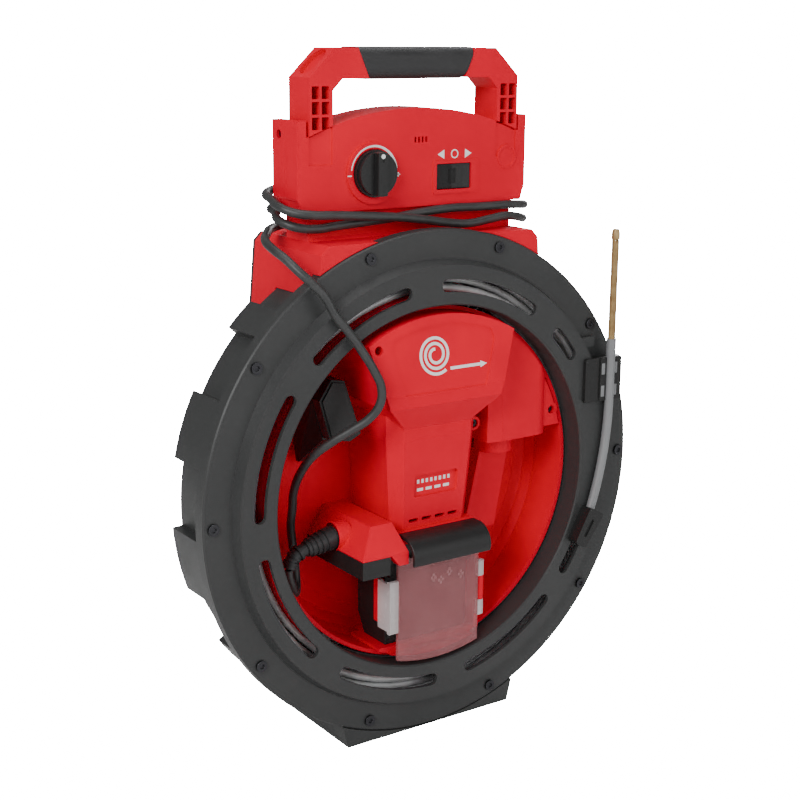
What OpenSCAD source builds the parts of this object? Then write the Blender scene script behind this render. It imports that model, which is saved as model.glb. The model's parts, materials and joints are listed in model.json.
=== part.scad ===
// Drain snake machine: a flexible cable in a ring-shaped cassette, turned by a battery motor.
// +X right, +Y to the back, +Z up. The origin is the centre of the foot's underside.
// Most modules are drawn in the ring's frame: its origin is the ring's centre in the flange's front plane.

/* [Cassette] */
// Outer radius of the cassette's flange
ring_r = 193; // [190:1:196]
// Radius of the hole in the front cover
hole_r = 138.5; // [137:0.5:139.5]
// Outer radius of the rear shell's wall
wall_r = 180; // [178:1:182]
// Depth of the rear shell behind the flange's front plane
cassette_depth = 60; // [58:1:61]
// How far the inner annulus stands in front of the flange
annulus_rise = 8; // [6:1:9]
// Number of screws round the flange
screw_count = 10; // [6:1:12]

/* [Stand] */
// Height of the ring's centre above the ground
ring_z = 194; // [194:1:200]
// Depth of the stand from the flange's front to its back
stand_depth = 99; // [97:1:104]
// Half the width of the foot's underside
foot_half = 76; // [70:1:78]
// Half the width of the red shoulder
shoulder_half = 96; // [94:1:97]

/* [Head and handle] */
// Half the width of the control head
head_half = 100.6; // [99:0.2:102]
// Height of the handle's top above the ring's centre
handle_top = 320; // [318:1:326]
// Radius of the speed knob
knob_r = 16.75; // [14:0.25:18]

/* [Drive] */
// Module of the gears that turn the reel
drive_module = 2.5; // [2.5:0.5:2.5]
// Module of the motor's gears
motor_module = 1.5; // [1.5:0.5:1.5]
// Teeth inside the reel
ring_teeth = 112; // [112:4:112]
// Teeth on the idler
idler_teeth = 24; // [24:4:24]
// Teeth on the small compound gear
small_teeth = 12; // [12:4:12]
// Teeth on the large compound gear
large_teeth = 48; // [48:4:48]
// Teeth on the motor's pinion
pinion_teeth = 12; // [12:4:12]

/* [Cord and cable] */
// Diameter of the cord from the deck to the head
cord_d = 6.4; // [6:0.1:6.6]
// Outer diameter of the guide tube
tube_d = 7.6; // [7:0.1:8]
// Diameter of the spiral-wound leader
leader_d = 6.2; // [5.6:0.1:6.4]

/* [Hidden] */
$fn = 72;
flange_y = -50;
wall = 3;
gap = 0.1;
run = 0.06;
bush_run = 0.08;
red = [0.78, 0.05, 0.08];
charcoal = [0.16, 0.16, 0.17];
black = [0.07, 0.07, 0.08];
steel = [0.6, 0.6, 0.62];
grey = [0.45, 0.46, 0.47];
bronze = [0.55, 0.42, 0.22];
clear = [0.85, 0.85, 0.85, 0.5];

// Front cover
screw_ring_r = 185;
screw_hole_r = 2.2;
screw_shank_r = 2.1;
screw_head_r = 4.3;
flange_depth = 11;
flange_t = 4;
annulus_r = 168;
step_r = 171.5;
cover_t = 3.5;
lip_depth = 12;
slot_r = 152.75;
slot_half = 4.75;
slot_spans = [[33.5, 12], [55, 35], [100, 35], [145, 35], [190, 35], [235, 35], [280, 35], [323, 17]];

// Rear shell
wall_t = 4;
lug_r = 188;
lug_y0 = 14;
lug_spans = [[130.2, 7.6], [153.4, 15.2], [184.4, 15.2], [215.4, 15.2], [42.2, 7.6], [11.4, 15.2],
    [-19.6, 15.2], [-50.6, 15.2]];
shell_lip_y = 4.1;

// Reel
hub_r = 146.2;
hub_bore_r = 143;
hub_y0 = 2;
hub_y1 = 56;
coil_r = 171;
coil_y0 = 5;
coil_y1 = 52;

// Bowl
dish_r = 136;
dish_rim_y = 10;
dish_floor_y = 58;
dish_inner_r = dish_r - wall;
dish_back_y = 61.9;

// Gear train: pitch radii and places, all on the vertical line through the ring's centre
ring_pitch_r = drive_module * ring_teeth / 2;
idler_pitch_r = drive_module * idler_teeth / 2;
small_pitch_r = drive_module * small_teeth / 2;
large_pitch_r = motor_module * large_teeth / 2;
pinion_pitch_r = motor_module * pinion_teeth / 2;
idler_z = ring_pitch_r - idler_pitch_r;
compound_z = idler_z - idler_pitch_r - small_pitch_r;
motor_z = compound_z - large_pitch_r - pinion_pitch_r;
drive_y0 = 40;
drive_y1 = 50;
motor_gear_y0 = 27;
motor_gear_y1 = 35;
addendum = 0.8;
dedendum = 1.04;
gear_pin_r = 4;
rotor_shaft_r = 2.5;
motor_plate_y0 = 22;
motor_plate_y1 = 25;
gear_plate_y0 = 52;
gear_plate_y1 = 55;
window_half = 34;
window_y0 = 38.5;
window_y1 = 51.5;
upper_posts = [[-44, 88], [44, 88]];
lower_posts = [[-27, -6], [27, -6]];
post_places = concat(upper_posts, lower_posts);

// Stand
foot_top_half = 80;
foot_top_z = -150;
foot_slope_z = -178;
back_y0 = 62;
cover_y0 = 96;
spine_r = 126;
spine_half = 70;
shoulder_z0 = 100;
shoulder_z1 = 187;
shoulder_low = 100.5;
shoulder_y0 = 2;
neck_half = 90;
neck_y0 = 30;
neck_y1 = 60;
neck_z1 = 207;
drum_clear_r = wall_r + 0.3;
flange_clear_r = ring_r + 0.3;
flange_clear_y = 12;

// Head
head_y0 = 26;
head_split_y = 43;
head_y1 = 60;
head_z0 = 207;
ear_z = 271;
ear_w = 7.5;
arch_r = 240;
arch_z = 278;
head_wall = 2.5;
knob_x = -38.5;
knob_z = 233;
knob_y0 = 12;
knob_shaft_r = 3;
collar_r = 22;
rocker_x0 = 17.5;
rocker_x1 = 49;
rocker_z0 = 218;
rocker_z1 = 237;
rocker_pivot_y = 31;
gauge_x0 = -2.1;
gauge_z0 = 253;

// Handle
handle_y0 = 25;
handle_y1 = 53;
leg_outer = 91;
leg_inner = 72;
bar_z0 = 299;
chamfer_z = 300;
chamfer_x = 70;
tongue_z = 240;
tongue_y0 = 29;
grip_top_half = 52;
grip_low_half = 41;

// Motor housing
house_r = 132.6;
house_t = 3;

// Deck and battery bay
deck_z0 = -54;
deck_z1 = -40;
deck_left = -76;
deck_y0 = -20;
hood_half = 35.3;
battery_half = 38;
battery_z0 = -122;
battery_z1 = -66.5;
battery_y0 = 8;
battery_y1 = 46;
door_hinge_x = 43;
door_hinge_y = -3;
hinge_r = 3.2;
hinge_pin_r = 1.5;
door_y0 = -6.5;
door_y1 = -4;
door_left = -36;
door_arc_r = 135.3;
relief_start = [-76, 20, -31];

// Guide tube: an arc that ends upright, then a straight outlet
tube_y = -12.2;
tube_x = 162.5;
tube_arc_r = 272.4;
tube_arc_sweep = 21;
tube_bend_z = 50;
tube_top_z = 97.4;
outlet_z = 84;
leader_z0 = 56;
leader_z1 = 176;
tip_z1 = 184;

// Drum latch
latch_place = [-77, 58];
latch_pin_r = 3;

// Route of the cord's centre, in the ring's frame, from the strain relief to the grommet behind the head
cord_route = [
    [-114.5, 20, -49.7], [-114.2, 20, -55], [-112, 20.8, -61], [-108.6, 23.6, -67.8],
    [-104.6, 28.2, -72.4], [-100.4, 33.6, -73.6], [-97.2, 38.6, -71], [-95.6, 42, -65.4],
    [-95.4, 43.4, -58], [-96.4, 43.4, -48], [-98.4, 42.5, -36], [-100.5, 40.5, -24], [-101, 37, -10],
    [-102.5, 32, 5], [-102, 23, 21], [-98, 13, 35], [-88.5, 2, 47], [-77, -8, 57], [-68, -15, 65],
    [-62, -20, 76], [-61.5, -21, 88], [-66.5, -20, 100], [-74.5, -17.5, 114], [-85, -15, 129.5],
    [-95, -14, 142], [-102, -12, 155.1], [-109.2, -9, 163.6], [-116.2, -3, 171.6], [-121.4, 7, 179.9],
    [-123.9, 20, 185.4], [-121.8, 34, 189.1], [-113.1, 48, 192.1], [-98, 64.5, 194], [-80, 70, 195.5],
    [-60, 71, 195.5], [-20, 71, 195], [20, 71, 195], [60, 71, 194], [84, 68.5, 192.5],
    [99.5, 60.8, 191.8], [106, 49, 191.5], [106, 37, 191.5], [100, 26, 192.5], [91, 20, 194.5],
    [77, 17.5, 196.5], [61, 17, 195], [42, 17, 193], [24, 17, 194.5], [0, 16.5, 198.5],
    [-26, 16.5, 202], [-50, 17, 204], [-74, 17.5, 206], [-92.2, 18.5, 207.1], [-104.1, 25, 208.7],
    [-110.4, 36, 212.6], [-109, 49, 216.5], [-106.2, 60.5, 218.5], [-97.5, 67, 220.5], [-80, 67, 221],
    [-50, 66.5, 221], [-10, 66.5, 221], [30, 66.5, 217], [62, 66.5, 209], [88, 65, 202.5],
    [101.5, 58.5, 200.5], [107.8, 48, 200.5], [107.6, 36, 201.5], [99.5, 26.5, 203], [84, 23.8, 204],
    [57, 23.6, 204], [30, 23.6, 204.5], [4, 23.6, 203], [-21, 23.6, 200.5], [-46, 23.6, 199],
    [-72, 23.6, 197.5], [-85.3, 23.6, 196.5], [-99, 25.5, 197.7], [-106.7, 32.5, 200.4],
    [-108.1, 42, 203.3], [-103.4, 52, 206.9], [-102.8, 59.5, 207.8], [-97.5, 65.2, 208.5],
    [-78, 68, 208.5], [-50, 69, 209.5], [-28, 69, 211], [-12, 69, 211.5]];
cord_sides = 10;

// ---------- shared shapes ----------

// Moves a shape from the ring's frame to the part's frame
module placed() {
    translate([0, flange_y, ring_z]) children();
}

// A block between two corners
module block(low, high) {
    translate(low) cube(high - low);
}

// A flat outline drawn in X and Z, given thickness from y0 to y1
module slab(y0, y1) {
    translate([0, y1, 0]) rotate([90, 0, 0]) linear_extrude(y1 - y0) children();
}

// An outline drawn in Y and Z, given width from x0 to x1
module across(x0, x1) {
    translate([x0, 0, 0]) rotate([90, 0, 90]) linear_extrude(x1 - x0) children();
}

// A rod along Y at a place in X and Z
module rod_y(r, y0, y1, place = [0, 0]) {
    translate([place[0], y1, place[1]]) rotate([90, 0, 0]) cylinder(r = r, h = y1 - y0);
}

// A rod along Z at a place in X and Y
module rod_z(r, z0, z1, place = [0, 0]) {
    translate([place[0], place[1], z0]) cylinder(r = r, h = z1 - z0);
}

// A rod along X at a place in Y and Z
module rod_x(r, x0, x1, place) {
    translate([x0, place[0], place[1]]) rotate([0, 90, 0]) cylinder(r = r, h = x1 - x0);
}

// An outline of radius and depth, spun about the ring's axis
module spun(start = 0, sweep = 360) {
    rotate([90, 0, 0]) rotate([0, 0, start]) rotate_extrude(angle = sweep) mirror([0, 1]) children();
}

// A band of rectangular section about the ring's axis
module band(r0, r1, y0, y1, start = 0, sweep = 360) {
    spun(start, sweep) translate([r0, y0]) square([r1 - r0, y1 - y0]);
}

// A rectangle with round corners, from its low corner to its high corner
module round_rect(low, high, r) {
    translate([low[0] + r, low[1]]) square([high[0] - low[0] - 2 * r, high[1] - low[1]]);
    translate([low[0], low[1] + r]) square([high[0] - low[0], high[1] - low[1] - 2 * r]);
    for (x = [low[0] + r, high[0] - r], z = [low[1] + r, high[1] - r]) translate([x, z]) circle(r);
}

// Both sides of a symmetric pair
module both_sides() {
    children();
    mirror([1, 0, 0]) children();
}

function on_circle(r, angle) = [r * cos(angle), r * sin(angle)];

// Outline of a gear with straight-flanked teeth; inward teeth when the tip radius is the smaller
module gear_outline(teeth, root, tip, phase, root_half = 0.27, tip_half = 0.13) {
    pitch = 360 / teeth;
    marks = [[root, -root_half], [tip, -tip_half], [tip, tip_half], [root, root_half]];
    polygon([for (i = [0 : teeth - 1], m = marks) on_circle(m[0], phase + (i + m[1]) * pitch)]);
}

// ---------- stand ----------

module foot_outline(inset = 0) {
    low = -ring_z + inset;
    polygon([[-foot_half + inset, low], [foot_half - inset, low], [foot_top_half - inset, foot_slope_z],
        [foot_top_half - inset, foot_top_z - inset], [-foot_top_half + inset, foot_top_z - inset],
        [-foot_top_half + inset, foot_slope_z]]);
}

pad_places = [[-58, 14], [58, 14], [-58, 82], [58, 82]];
pad_r = 8;
pad_t = 2;

module foot() {
    color(charcoal) placed() difference() {
        slab(0, cover_y0) foot_outline();
        difference() {
            slab(4, cover_y0 + 1) foot_outline(4);
            rod_y(drum_clear_r + 5, 0, back_y0);
            rod_y(flange_clear_r + 4, 0, flange_clear_y + 3);
        }
        rod_y(drum_clear_r, -1, back_y0);
        rod_y(flange_clear_r, -1, flange_clear_y);
        for (p = pad_places) rod_z(pad_r, -ring_z - 1, -ring_z + pad_t, p);
    }
}

module foot_pads() {
    color(black) placed() for (p = pad_places) rod_z(pad_r, -ring_z, -ring_z + pad_t, p);
}

// The saddle that the neck rises from, wider at its foot
module shoulder_outline() {
    polygon([[-shoulder_low, shoulder_z0], [shoulder_low, shoulder_z0], [shoulder_low, 131],
        [shoulder_half, 181],
        [90, shoulder_z1], [-90, shoulder_z1], [-shoulder_half, 181], [-shoulder_low, 131]]);
}

module shoulder_body() {
    slab(shoulder_y0, cover_y0) shoulder_outline();
    slab(back_y0, cover_y0) polygon([[-95, 180], [95, 180], [95, 182], [84, 189], [-84, 189], [-95, 182]]);
    hull() {
        block([-88, 28, shoulder_z1 - 1], [88, 65, shoulder_z1]);
        block([-82, 31, 190], [82, 61, 191]);
    }
    slab(neck_y0, neck_y1) translate([-neck_half, 185]) square([2 * neck_half, neck_z1 - 185]);
}

module shoulder() {
    inner = shoulder_half - wall;
    color(red) placed() difference() {
        shoulder_body();
        rod_y(drum_clear_r, -1, back_y0);
        rod_y(flange_clear_r, -1, flange_clear_y);
        difference() {
            block([-inner, shoulder_y0 + wall, 120], [inner, 65, shoulder_z1 - wall]);
            rod_y(drum_clear_r + 4, -1, 66);
            rod_y(flange_clear_r + 4, -1, flange_clear_y + wall);
        }
        block([-inner, 65, shoulder_z0 + wall], [inner, cover_y0 + 1, shoulder_z1 - wall]);
        block([-neck_half + 6, neck_y0 + wall, 180], [neck_half - 6, neck_y1 - wall, neck_z1 + 1]);
        both_sides() block([26, 12.5, 184], [40, 24, 188]);
    }
}

module spine_outline(inset = 0) {
    intersection() {
        circle(spine_r - inset);
        translate([-200, -200]) square([400, 200 + shoulder_z0 - gap - inset]);
    }
    translate([-spine_half + inset, foot_top_z + gap + inset]) square([2 * (spine_half - inset), 150]);
    translate([-foot_top_half + inset, 0]) square([2 * (foot_top_half - inset), shoulder_z0 - gap - inset]);
}

module back_frame() {
    color(red) placed() difference() {
        slab(back_y0, cover_y0) spine_outline();
        slab(back_y0 + wall, cover_y0 + 1) spine_outline(wall);
        for (z = [-20, 40]) both_sides() rod_y(10, back_y0 - 1, back_y0 + 4, [60, z]);
    }
}

rear_screw_places = [[-86, 178], [86, 178], [-70, 96], [70, 96], [-60, -142], [60, -142], [-70, -186],
    [70, -186]];

module rear_cover() {
    color(charcoal) placed() difference() {
        union() {
            slab(cover_y0 + gap, stand_depth) spine_outline();
            slab(cover_y0 + gap, stand_depth) foot_outline();
            slab(cover_y0 + gap, stand_depth) translate([-spine_half, foot_top_z - 5])
                square([2 * spine_half, 10]);
            slab(cover_y0 + gap, stand_depth) shoulder_outline();
            slab(cover_y0 + gap, stand_depth) translate([-foot_top_half, shoulder_z0 - 2])
                square([2 * foot_top_half, 4]);
        }
        for (p = rear_screw_places) rod_y(2.1, 90, stand_depth + 1, p);
        for (i = [-4 : 4]) slab(90, stand_depth + 1) round_rect([i * 12 - 2, 40], [i * 12 + 2, 80], 1.9);
    }
}

module rear_screws() {
    color(steel) placed() for (p = rear_screw_places) difference() {
        union() {
            rod_y(1.9, cover_y0 + gap, stand_depth + 0.1, p);
            rod_y(3.8, stand_depth, stand_depth + 1.8, p);
        }
        rod_y(1.5, stand_depth + 0.6, stand_depth + 3, p);
    }
}

// The space inside the bowl, which whatever stands in it is kept to
module bowl_space() {
    steps = [[145, -40, 43.6], [128.4, 43, 51.6], [121.4, 51, 56.6], [111.4, 56, dish_floor_y - gap]];
    for (step = steps) rod_y(step[0], step[1], step[2]);
}

module dish() {
    color(red) placed() difference() {
        spun() polygon([[0, dish_floor_y], [112, dish_floor_y], [122, 57], [129, 52], [dish_inner_r, 44],
            [dish_inner_r, dish_rim_y], [dish_r, dish_rim_y], [dish_r, dish_back_y], [0, dish_back_y]]);
        block([-window_half, window_y0, 100], [window_half, window_y1, 150]);
    }
}

// ---------- cassette ----------

module front_cover() {
    color(charcoal) placed() difference() {
        union() {
            block([139, -4, 91], [152, 0.5, 99]);
            spun() polygon([[hole_r, 1 - annulus_rise], [hole_r + 1, -annulus_rise],
                [annulus_r, -annulus_rise],
                [step_r, 0], [ring_r - 1, 0], [ring_r, 1], [ring_r, flange_depth],
                    [ring_r - wall, flange_depth],
                [ring_r - wall, flange_t], [step_r - 2, flange_t], [annulus_r - 2, -annulus_rise + cover_t],
                [hole_r + wall, -annulus_rise + cover_t], [hole_r + wall, lip_depth], [hole_r, lip_depth]]);
        }
        for (i = [0 : screw_count - 1])
            rod_y(screw_hole_r, -2, flange_t + 1, on_circle(screw_ring_r, i * 360 / screw_count));
        for (span = slot_spans) arc_slot(span[0], span[1]);
    }
}

module arc_slot(start, sweep) {
    round_end = 1.8;
    y0 = -annulus_rise - 1;
    y1 = -annulus_rise + cover_t + 1;
    band(slot_r - slot_half, slot_r + slot_half, y0, y1, start + round_end, sweep - 2 * round_end);
    for (a = [start + round_end, start + sweep - round_end]) rod_y(slot_half, y0, y1, on_circle(slot_r, a));
}

module cover_screws() {
    color(black) placed() for (i = [0 : screw_count - 1]) {
        place = on_circle(screw_ring_r, i * 360 / screw_count);
        difference() {
            union() {
                rod_y(screw_shank_r, 0, 9, place);
                rod_y(screw_head_r, -1.8, 0, place);
            }
            rod_y(1.8, -2.5, -0.6, place);
        }
    }
}

module rear_shell() {
    color(charcoal) placed() difference() {
        union() {
            spun() polygon([[wall_r - wall_t, shell_lip_y], [ring_r - wall - gap, shell_lip_y],
                [ring_r - wall - gap, flange_depth], [wall_r, flange_depth], [wall_r, cassette_depth],
                [hole_r, cassette_depth], [hole_r, cassette_depth - wall],
                [wall_r - wall_t, cassette_depth - wall]]);
            for (span = lug_spans) spun(span[0], span[1])
                polygon([[wall_r - 1, flange_depth - 2], [lug_r - 4, flange_depth - 2], [lug_r - 4, lug_y0],
                    [lug_r, lug_y0 + 1], [lug_r, cassette_depth - 1], [wall_r - 1, cassette_depth - 1]]);
        }
        for (i = [0 : screw_count - 1])
            rod_y(screw_hole_r, 0, flange_depth - 1, on_circle(screw_ring_r, i * 360 / screw_count));
    }
}

module reel_bushes() {
    color(grey) placed() {
        band(hole_r, hub_bore_r - bush_run, lip_depth, 20);
        band(hole_r, hub_bore_r - bush_run, 52, cassette_depth - wall);
    }
}

module reel_hub() {
    color(red) placed() spun() polygon([[hub_bore_r, hub_y0], [hub_r, hub_y0], [hub_r, hub_y1 - 3],
        [coil_r + 1, hub_y1 - 3], [coil_r + 1, hub_y1], [hub_bore_r, hub_y1]]);
}

module ring_gear() {
    tip = ring_pitch_r - addendum * drive_module;
    root = ring_pitch_r + dedendum * drive_module;
    color(steel) placed() slab(drive_y0, drive_y1) difference() {
        circle(hub_bore_r - 0.05, $fn = 360);
        gear_outline(ring_teeth, tip, root, 90 + 180 / ring_teeth, 0.38, 0.22);
    }
}

module cable_coil() {
    color(grey) placed() spun() round_rect([hub_r + gap, coil_y0], [coil_r, coil_y1], 3.2);
}

// ---------- drive ----------

module idler_gear() {
    color(steel) placed() difference() {
        translate([0, 0, idler_z]) slab(drive_y0, drive_y1)
            gear_outline(idler_teeth, idler_pitch_r - dedendum * drive_module,
                idler_pitch_r + addendum * drive_module, 90 + 180 / idler_teeth);
        rod_y(gear_pin_r + run, drive_y0 - 1, drive_y1 + 1, [0, idler_z]);
    }
}

module idler_pin() {
    color(steel) placed() {
        rod_y(gear_pin_r, 38, gear_plate_y1, [0, idler_z]);
        rod_y(6, 36.5, 39.5, [0, idler_z]);
    }
}

module compound_gear() {
    color(steel) placed() difference() {
        union() {
            translate([0, 0, compound_z]) slab(drive_y0, drive_y1)
                gear_outline(small_teeth, small_pitch_r - dedendum * drive_module,
                    small_pitch_r + addendum * drive_module, 90);
            rod_y(8, motor_gear_y1 - 1, drive_y0 + 1, [0, compound_z]);
            translate([0, 0, compound_z]) slab(motor_gear_y0, motor_gear_y1)
                gear_outline(large_teeth, large_pitch_r - dedendum * motor_module,
                    large_pitch_r + addendum * motor_module, 90);
        }
        rod_y(gear_pin_r + run, motor_gear_y0 - 1, drive_y1 + 1, [0, compound_z]);
    }
}

module compound_shaft() {
    color(steel) placed() rod_y(gear_pin_r, motor_plate_y0, gear_plate_y1, [0, compound_z]);
}

module motor_pinion() {
    color(steel) placed() difference() {
        translate([0, 0, motor_z]) slab(motor_gear_y0 - 1, motor_gear_y1 + 1)
            gear_outline(pinion_teeth, pinion_pitch_r - dedendum * motor_module,
                pinion_pitch_r + addendum * motor_module, 90 + 180 / pinion_teeth);
        rod_y(rotor_shaft_r, 0, 60, [0, motor_z]);
    }
}

stator_r = 24;
rotor_r = 12;
fan_r = 20;

module fan_outline() {
    blades = 9;
    marks = [[6, -0.4], [6, -0.05], [fan_r, -0.05], [fan_r, 0.05], [6, 0.05]];
    polygon([for (i = [0 : blades - 1], m = marks) on_circle(m[0], (i + m[1]) * 360 / blades)]);
}

module motor_rotor() {
    color(grey) placed() {
        rod_y(rotor_shaft_r, 0.5, 37, [0, motor_z]);
        rod_y(rotor_r, 5, 19, [0, motor_z]);
        translate([0, 0, motor_z]) slab(1.6, 3.8) fan_outline();
    }
}

module motor_stator() {
    color(bronze) placed() difference() {
        rod_y(stator_r, 4, motor_plate_y0, [0, motor_z]);
        rod_y(rotor_r + 0.8, 3, motor_plate_y0 - 1.5, [0, motor_z]);
        rod_y(8.2, 0, motor_plate_y0 + 1, [0, motor_z]);
        for (i = [0 : 5]) rod_y(2.4, 3, 23, [0, motor_z] + on_circle(19, 30 + i * 60));
    }
}

module bearings() {
    color(steel) placed() difference() {
        rod_y(8, motor_plate_y0, motor_plate_y1, [0, motor_z]);
        rod_y(rotor_shaft_r + run, 10, 30, [0, motor_z]);
    }
}

module motor_plate() {
    color(steel) placed() difference() {
        union() {
            hull() {
                rod_y(12, motor_plate_y0, motor_plate_y1, [0, compound_z - 15]);
                for (p = upper_posts) rod_y(5, motor_plate_y0, motor_plate_y1, p);
            }
            hull() {
                rod_y(26, motor_plate_y0, motor_plate_y1, [0, motor_z]);
                for (p = lower_posts) rod_y(5, motor_plate_y0, motor_plate_y1, p);
            }
        }
        rod_y(8, 10, 30, [0, motor_z]);
        rod_y(gear_pin_r, 10, 30, [0, compound_z]);
        for (p = post_places) rod_y(3, 10, 30, p);
    }
}

module gear_plate() {
    color(steel) placed() difference() {
        union() {
            hull() {
                rod_y(12, gear_plate_y0, gear_plate_y1, [0, idler_z]);
                rod_y(12, gear_plate_y0, gear_plate_y1, [0, compound_z - 15]);
                for (p = upper_posts) rod_y(5, gear_plate_y0, gear_plate_y1, p);
            }
            hull() {
                rod_y(20, gear_plate_y0, gear_plate_y1, [0, motor_z]);
                for (p = lower_posts) rod_y(5, gear_plate_y0, gear_plate_y1, p);
            }
        }
        for (z = [compound_z, idler_z]) rod_y(gear_pin_r, 50, 60, [0, z]);
        for (p = post_places) rod_y(3, 50, 60, p);
    }
}

module gearbox_posts() {
    color(steel) placed() for (p = post_places) {
        rod_y(3, motor_plate_y0, gear_plate_y1, p);
        rod_y(4.5, motor_plate_y1, gear_plate_y0, p);
    }
}

// The arch-topped block, with the sides drawn in below it
module arch_outline(inset = 0) {
    intersection() {
        circle(house_r - inset);
        polygon([[-66 + inset, 140], [66 - inset, 140], [66 - inset, 118], [50 - inset, 68],
            [31 - inset, 50],
            [31 - inset, 40], [-31 + inset, 40], [-31 + inset, 50], [-50 + inset, 68], [-66 + inset, 118]]);
    }
}

// Side view of the block: its front leans out to an edge, then turns back in below it
module block_profile(inset, back) {
    polygon([[back, 140], [-7 + inset, 140], [-16 + inset, 78], [-16 + inset, 68], [-4 + inset, 47],
        [-4 + inset, 40], [back, 40]]);
}

module housing_body(inset, back) {
    intersection() {
        slab(-20, back) arch_outline(inset);
        across(-70, 70) block_profile(inset, back);
    }
    hull() {
        block([-30.5 + inset, -5 + inset, 40], [30.5 - inset, 0, 58]);
        block([-26.7 + inset, 0.5 + inset, -30 + inset], [26.7 - inset, 5, -26]);
        block([-40 + inset, 5 + inset, 40], [40 - inset, back, 60]);
        block([-34.5 + inset, 8 + inset, -30 + inset], [34.5 - inset, back, -26]);
    }
}

module shield_outline() {
    intersection() {
        circle(125.5);
        polygon([[-36, 77], [36, 77], [46, 110], [40, 130], [-40, 130], [-46, 110]]);
    }
}

screw_y1 = 46;
housing_screw_places = [[-57, 112, 2], [67.5, 100, 6], [45, 40, 10], [120, 41, 10]];

module housing() {
    color(red) placed() difference() {
        intersection() {
            bowl_space();
            housing_walls();
        }
        block([-window_half, window_y0, 95], [window_half, window_y1, 150]);
        for (i = [0 : 2]) {
            p = housing_screw_places[i];
            rod_y(3.3, -12, p[2] + 4, [p[0], p[1]]);
            rod_y(1.6, -12, screw_y1, [p[0], p[1]]);
        }
        for (x = [-18, -6, 6, 18]) slab(-12, 8) round_rect([x - 4.5, -25.2], [x + 4.5, -22.6], 1.2);
        slab(-12, 0.4) round_rect([-19, -5.7], [20.5, 11.5], 2);
        difference() {
            slab(-30, 0) shield_outline();
            across(-70, 70) block_profile(0.9, dish_floor_y);
        }
    }
}

module housing_walls() {
    difference() {
        housing_body(0, dish_floor_y);
        housing_body(house_t, dish_floor_y + 1);
    }
    rod_y(5.5, -7, dish_floor_y, [-57, 112]);
    rod_y(5.5, 6, dish_floor_y, [67.5, 100]);
    block([56, 10, 96], [66.7, dish_floor_y, 104]);
    rod_y(5.5, 10, dish_floor_y, [45, 40]);
    block([35, 14, 35], [45, dish_floor_y, 45]);
}

module housing_screws() {
    color(steel) placed() for (p = housing_screw_places) difference() {
        union() {
            rod_y(3.1, p[2] + 1.5, p[2] + 4, [p[0], p[1]]);
            rod_y(1.6, p[2] + 3, screw_y1, [p[0], p[1]]);
        }
        rod_y(1.4, p[2], p[2] + 3, [p[0], p[1]]);
    }
}

// Rounded bulge beside the arch block, with a stub and a duct that runs down to the deck
module side_body(inset, back) {
    intersection() {
        rod_y(house_r - 1.5 - inset, -20, back);
        hull() {
            rod_z(14 - inset, 24 + inset, 130, [101.5, 17]);
            block([67 + inset, 3 + inset, 24 + inset], [80, back, 130]);
            block([67 + inset, 20, 24 + inset], [115.5 - inset, back, 130]);
            block([54 + inset, 5 + inset, 24 + inset], [80, back, 112]);
        }
    }
}

module side_housing() {
    color(red) placed() intersection() {
        bowl_space();
        side_walls();
    }
}

module side_walls() {
    side_y1 = dish_floor_y;
    difference() {
        union() {
            difference() {
                side_body(0, side_y1);
                side_body(2.6, dish_floor_y + 1);
            }
            rod_z(15, 10.5, 25, [79, 30]);
            hull() {
                block([66, 30, 8], [94, side_y1, 11]);
                block([52, 30, -54], [82, side_y1, -51]);
            }
            slab(8, 13) intersection() {
                circle(house_r - 1.5);
                translate([110, 28.6]) square([30, 42]);
            }
            rod_y(6, 8, side_y1, [120, 41]);
        }
        rod_y(6.2, 0, dish_floor_y, [67.5, 100]);
        rod_y(3.3, 0, 14, [120, 41]);
        rod_y(1.6, 0, screw_y1, [120, 41]);
        block([50, 9.8, 95.8], [66.9, 60, 104.2]);
        rod_y(5.8, 0, 60, [45, 40]);
        housing_body(-0.15, dish_floor_y + 1);
    }
}

module driver_board() {
    color([0.1, 0.3, 0.15]) placed() {
        block([72, 44, 32], [98, 45.6, 80]);
        for (z = [36, 50, 64]) block([76, 36, z], [88, 44, z + 9]);
        rod_y(4, 36, 44, [93, 44]);
    }
}

module drum_latch() {
    color(black) placed() difference() {
        union() {
            slab(9.5, 42) polygon([[-94, 76], [-84, 90.5], [-73, 88.5], [-59, 47.5], [-68, 43], [-85, 46]]);
            slab(8, 10) polygon([[-92, 75.6], [-83.4, 88.6], [-74.4, 87], [-61.2, 48.4], [-68.4, 45],
                [-84, 47.8]]);
            hull() {
                slab(20, 22) polygon([[-94, 76], [-80, 60], [-70, 44], [-85, 44]]);
                slab(46, 50) polygon([[-96, 70], [-80, 60], [-78, 22], [-90, 22]]);
            }
        }
        rod_y(latch_pin_r + run, 29, 60, latch_place);
    }
}

module latch_pin() {
    color(steel) placed() rod_y(latch_pin_r, 29.2, dish_floor_y, latch_place);
}

// ---------- deck and battery bay ----------

module deck_cover() {
    right = -36;
    color(red) placed() difference() {
        union() {
            hull() {
                block([deck_left, deck_y0, deck_z1], [right, dish_floor_y - gap, deck_z1 + 1]);
                block([-62, -8, -19.5], [-43, dish_floor_y - gap, -18.5]);
            }
            hull() {
                block([-51, deck_y0, deck_z1], [right, -12, deck_z1 + 1]);
                block([-44, deck_y0, -48.5], [right, -12, -47.5]);
            }
            block([right - 1, -4, deck_z1], [36, dish_floor_y - gap, -30.1]);
            rod_x(11.2, deck_left - 1.5, -66, [20, -31]);
        }
        block([deck_left - 5, deck_y0 - 1, deck_z1 - 8], [-60, 60, deck_z1]);
        rod_x(10.4, deck_left - 3, deck_left + 6, [20, -31]);
        housing_body(-0.1, dish_floor_y + 1);
    }
}

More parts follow.
